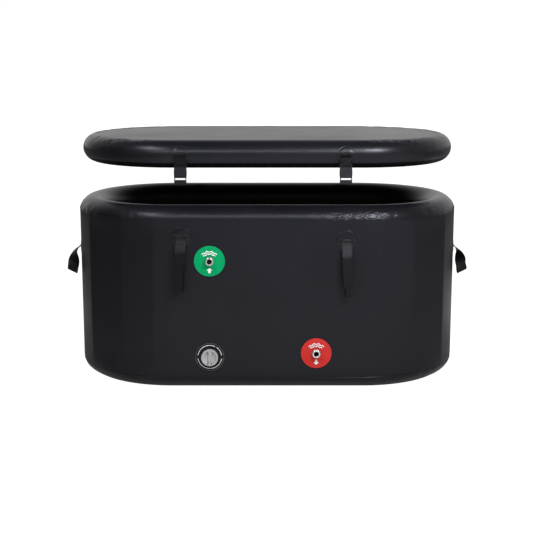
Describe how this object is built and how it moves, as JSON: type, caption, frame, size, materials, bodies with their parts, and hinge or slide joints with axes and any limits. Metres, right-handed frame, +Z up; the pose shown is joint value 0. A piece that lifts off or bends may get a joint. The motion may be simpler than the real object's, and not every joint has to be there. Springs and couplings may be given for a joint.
{
  "type": "cold plunge tub",
  "caption": "Inflatable drop-stitch plunge tub with rounded ends, a lift-off lid on buckled straps, webbing handles, water inlet and outlet stubs and an air valve.",
  "frame": {"origin": "middle of the footprint, on the ground", "axes": "+Z up, +X along the tub's length to the viewer's right, -Y out of the front wall with the inlet, outlet and valve"},
  "size_m": [1.626, 0.8736, 0.9429],
  "materials": {
    "drop_stitch": "satin",
    "pvc_band": "satin",
    "base_sheet": "matte",
    "inlet_green": "satin",
    "outlet_red": "satin",
    "stainless": "satin",
    "seal_rubber": "matte",
    "valve_patch": "satin",
    "valve_grey": "satin",
    "black_moulding": "satin",
    "webbing": "matte"
  },
  "bodies": {
    "tub": {"wall_panel": "drop_stitch", "rim_band": "pvc_band", "base_band": "pvc_band", "floor_panel": "drop_stitch", "floor_seam_tape": "pvc_band", "base_sheet": "base_sheet", "inlet_disc": "inlet_green", "inlet_spigot": "stainless", "inlet_gasket": "seal_rubber", "inlet_lock_nut": "stainless", "outlet_disc": "outlet_red", "outlet_spigot": "stainless", "outlet_gasket": "seal_rubber", "outlet_lock_nut": "stainless", "valve_patch": "valve_patch", "valve_nut": "black_moulding", "valve_body": "black_moulding", "valve_spring": "stainless", "loop_front_left_patch": "pvc_band", "loop_front_right_patch": "pvc_band", "loop_back_right_patch": "pvc_band", "loop_back_left_patch": "pvc_band", "handle_left_patch": "pvc_band", "handle_right_patch": "pvc_band"},
    "valve_stem": {"valve_stem": "valve_grey"},
    "valve_cap_seal": {"valve_cap_seal": "seal_rubber"},
    "valve_cap": {"valve_cap": "valve_grey"},
    "loop_front_left": {"loop_front_left": "webbing"},
    "loop_front_right": {"loop_front_right": "webbing"},
    "loop_back_right": {"loop_back_right": "webbing"},
    "loop_back_left": {"loop_back_left": "webbing"},
    "handle_left": {"handle_left": "webbing"},
    "handle_right": {"handle_right": "webbing"},
    "lid": {"lid_panel": "drop_stitch", "lid_edge_band": "pvc_band", "lid_valve_body": "black_moulding", "lid_valve_spring": "stainless"},
    "lid_valve_stem": {"lid_valve_stem": "valve_grey"},
    "lid_valve_cap_seal": {"lid_valve_cap_seal": "seal_rubber"},
    "lid_valve_cap": {"lid_valve_cap": "valve_grey"},
    "strap_front_left": {"lid_strap_front_left": "webbing", "buckle_male_front_left": "black_moulding"},
    "female_front_left": {"buckle_female_front_left": "black_moulding"},
    "prong_a_front_left": {"prong_a_front_left": "black_moulding"},
    "prong_b_front_left": {"prong_b_front_left": "black_moulding"},
    "strap_front_right": {"lid_strap_front_right": "webbing", "buckle_male_front_right": "black_moulding"},
    "female_front_right": {"buckle_female_front_right": "black_moulding"},
    "prong_a_front_right": {"prong_a_front_right": "black_moulding"},
    "prong_b_front_right": {"prong_b_front_right": "black_moulding"},
    "strap_back_right": {"lid_strap_back_right": "webbing", "buckle_male_back_right": "black_moulding"},
    "female_back_right": {"buckle_female_back_right": "black_moulding"},
    "prong_a_back_right": {"prong_a_back_right": "black_moulding"},
    "prong_b_back_right": {"prong_b_back_right": "black_moulding"},
    "strap_back_left": {"lid_strap_back_left": "webbing", "buckle_male_back_left": "black_moulding"},
    "female_back_left": {"buckle_female_back_left": "black_moulding"},
    "prong_a_back_left": {"prong_a_back_left": "black_moulding"},
    "prong_b_back_left": {"prong_b_back_left": "black_moulding"}
  },
  "joints": [
    {"name": "lid_lift", "type": "slide", "parent": "tub", "child": "lid", "axis": [0, 0, 1], "range_m": [-0.137, 0.35]},
    {"name": "valve_stem_push", "type": "slide", "parent": "tub", "child": "valve_stem", "axis": [0, 1, 0], "range_m": [0, 0.006], "stiffness_N_per_m": 20, "deforming": ["valve_spring"]},
    {"name": "valve_cap_turn", "type": "hinge", "parent": "valve_cap_seal", "child": "valve_cap", "pos_m": [-0.218, -0.41, 0.126], "axis": [0, -1, 0], "range_deg": [0, 90]},
    {"name": "valve_cap_rise", "type": "slide", "parent": "tub", "child": "valve_cap_seal", "axis": [0, -1, 0], "range_m": [0, 0.00401]},
    {"name": "loop_front_left_swing", "type": "hinge", "parent": "tub", "child": "loop_front_left", "pos_m": [-0.323, -0.404, 0.587], "axis": [-1, 0, 0], "range_deg": [0, 100]},
    {"name": "loop_front_right_swing", "type": "hinge", "parent": "tub", "child": "loop_front_right", "pos_m": [0.297, -0.404, 0.572], "axis": [-1, 0, 0], "range_deg": [0, 100]},
    {"name": "loop_back_right_swing", "type": "hinge", "parent": "tub", "child": "loop_back_right", "pos_m": [0.323, 0.404, 0.587], "axis": [1, 0, 0], "range_deg": [0, 100]},
    {"name": "loop_back_left_swing", "type": "hinge", "parent": "tub", "child": "loop_back_left", "pos_m": [-0.297, 0.404, 0.572], "axis": [1, 0, 0], "range_deg": [0, 100]},
    {"name": "handle_left_swing", "type": "hinge", "parent": "tub", "child": "handle_left", "pos_m": [-0.754, 0, 0.489], "axis": [0, 1, 0], "range_deg": [0, 100]},
    {"name": "handle_right_swing", "type": "hinge", "parent": "tub", "child": "handle_right", "pos_m": [0.754, 0, 0.489], "axis": [0, -1, 0], "range_deg": [0, 100]},
    {"name": "lid_valve_stem_push", "type": "slide", "parent": "lid", "child": "lid_valve_stem", "axis": [0, -1, 0], "range_m": [0, 0.006], "stiffness_N_per_m": 20, "deforming": ["lid_valve_spring"]},
    {"name": "lid_valve_cap_turn", "type": "hinge", "parent": "lid_valve_cap_seal", "child": "lid_valve_cap", "pos_m": [0, 0.392, 0.8905], "axis": [0, 1, 0], "range_deg": [0, 90]},
    {"name": "lid_valve_cap_rise", "type": "slide", "parent": "lid", "child": "lid_valve_cap_seal", "axis": [0, 1, 0], "range_m": [0, 0.00401]},
    {"name": "strap_front_left_swing", "type": "hinge", "parent": "lid", "child": "strap_front_left", "pos_m": [-0.32, -0.3855, 0.8905], "axis": [-1, 0, 0], "range_deg": [0, 90]},
    {"name": "buckle_front_left_release", "type": "slide", "parent": "strap_front_left", "child": "female_front_left", "axis": [0, -0.1736, -0.9848], "range_m": [0, 0.04]},
    {"name": "prong_a_front_left_latch", "type": "hinge", "parent": "strap_front_left", "child": "prong_a_front_left", "pos_m": [-0.3345, -0.39893, 0.84311], "axis": [0, 0.9848, -0.1736], "range_deg": [0, 9], "stiffness_Nm_per_rad": 0.0004, "springref_deg": 9},
    {"name": "prong_b_front_left_latch", "type": "hinge", "parent": "strap_front_left", "child": "prong_b_front_left", "pos_m": [-0.3055, -0.39893, 0.84311], "axis": [0, -0.9848, 0.1736], "range_deg": [0, 9]},
    {"name": "strap_front_right_swing", "type": "hinge", "parent": "lid", "child": "strap_front_right", "pos_m": [0.29, -0.3855, 0.8905], "axis": [-1, 0, 0], "range_deg": [0, 90]},
    {"name": "buckle_front_right_release", "type": "slide", "parent": "strap_front_right", "child": "female_front_right", "axis": [0, -0.1736, -0.9848], "range_m": [0, 0.04]},
    {"name": "prong_a_front_right_latch", "type": "hinge", "parent": "strap_front_right", "child": "prong_a_front_right", "pos_m": [0.2755, -0.39893, 0.84311], "axis": [0, 0.9848, -0.1736], "range_deg": [0, 9], "stiffness_Nm_per_rad": 0.0004, "springref_deg": 9},
    {"name": "prong_b_front_right_latch", "type": "hinge", "parent": "strap_front_right", "child": "prong_b_front_right", "pos_m": [0.3045, -0.39893, 0.84311], "axis": [0, -0.9848, 0.1736], "range_deg": [0, 9]},
    {"name": "strap_back_right_swing", "type": "hinge", "parent": "lid", "child": "strap_back_right", "pos_m": [0.32, 0.3855, 0.8905], "axis": [1, 0, 0], "range_deg": [0, 90]},
    {"name": "buckle_back_right_release", "type": "slide", "parent": "strap_back_right", "child": "female_back_right", "axis": [0, 0.1736, -0.9848], "range_m": [0, 0.04]},
    {"name": "prong_a_back_right_latch", "type": "hinge", "parent": "strap_back_right", "child": "prong_a_back_right", "pos_m": [0.3345, 0.39893, 0.84311], "axis": [0, -0.9848, -0.1736], "range_deg": [0, 9], "stiffness_Nm_per_rad": 0.0004, "springref_deg": 9},
    {"name": "prong_b_back_right_latch", "type": "hinge", "parent": "strap_back_right", "child": "prong_b_back_right", "pos_m": [0.3055, 0.39893, 0.84311], "axis": [0, 0.9848, 0.1736], "range_deg": [0, 9]},
    {"name": "strap_back_left_swing", "type": "hinge", "parent": "lid", "child": "strap_back_left", "pos_m": [-0.29, 0.3855, 0.8905], "axis": [1, 0, 0], "range_deg": [0, 90]},
    {"name": "buckle_back_left_release", "type": "slide", "parent": "strap_back_left", "child": "female_back_left", "axis": [0, 0.1736, -0.9848], "range_m": [0, 0.04]},
    {"name": "prong_a_back_left_latch", "type": "hinge", "parent": "strap_back_left", "child": "prong_a_back_left", "pos_m": [-0.2755, 0.39893, 0.84311], "axis": [0, -0.9848, -0.1736], "range_deg": [0, 9], "stiffness_Nm_per_rad": 0.0004, "springref_deg": 9},
    {"name": "prong_b_back_left_latch", "type": "hinge", "parent": "strap_back_left", "child": "prong_b_back_left", "pos_m": [-0.3045, 0.39893, 0.84311], "axis": [0, 0.9848, 0.1736], "range_deg": [0, 9]}
  ],
  "couplings": [
    {"joint": "valve_cap_rise", "follows": "valve_cap_turn", "m_per_rad": 0.0025465},
    {"joint": "lid_valve_cap_rise", "follows": "lid_valve_cap_turn", "m_per_rad": 0.0025465},
    {"joint": "prong_b_front_left_latch", "follows": "prong_a_front_left_latch", "ratio": 1},
    {"joint": "prong_b_front_right_latch", "follows": "prong_a_front_right_latch", "ratio": 1},
    {"joint": "prong_b_back_right_latch", "follows": "prong_a_back_right_latch", "ratio": 1},
    {"joint": "prong_b_back_left_latch", "follows": "prong_a_back_left_latch", "ratio": 1}
  ]
}
